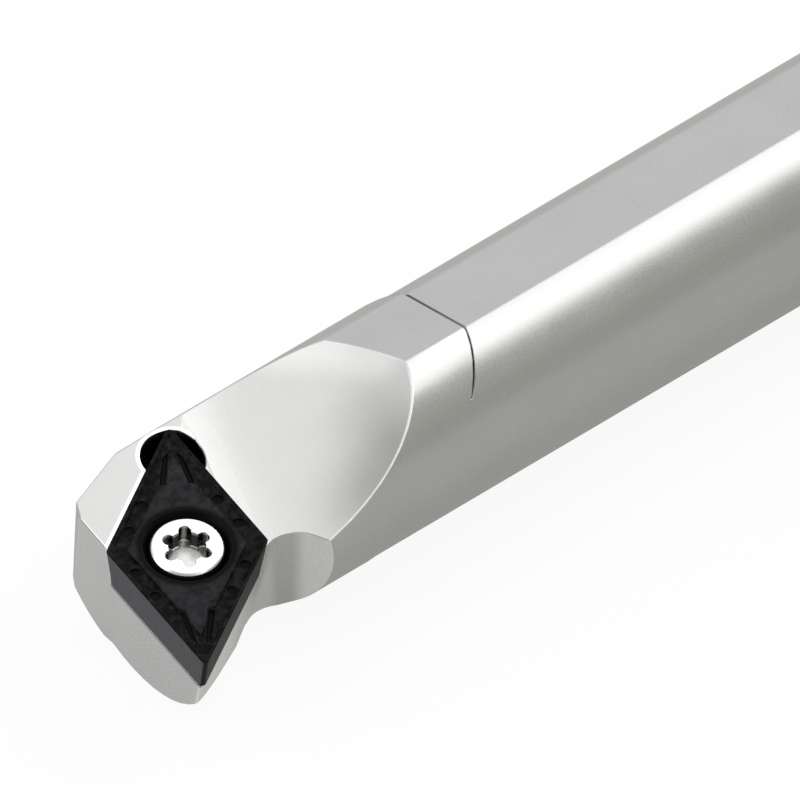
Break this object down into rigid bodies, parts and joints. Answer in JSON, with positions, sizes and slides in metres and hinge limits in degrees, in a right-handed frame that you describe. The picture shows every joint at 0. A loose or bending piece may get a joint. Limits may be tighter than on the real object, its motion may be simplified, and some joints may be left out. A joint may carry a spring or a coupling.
{
  "type": "boring bar",
  "caption": "Round-shank boring bar with two clamping flats and a rhombic indexable insert held by a countersunk screw, for internal turning.",
  "frame": {"origin": "centre of the shank's rear end face", "axes": "+X runs from the cutting head to the rear end face along the shank axis, +Z is the normal of the upper clamping flat, and the nose of the insert reaches out towards -Y at axis height"},
  "size_m": [0.127, 0.0119, 0.0095],
  "materials": {
    "bar_steel": "fine satin nickel-grey",
    "insert_carbide": "dark coated carbide, satin",
    "screw_steel": "bright machined"
  },
  "bodies": {
    "root": {"bar": "bar_steel", "insert": "insert_carbide", "clamp_screw": "screw_steel"}
  },
  "joints": []
}
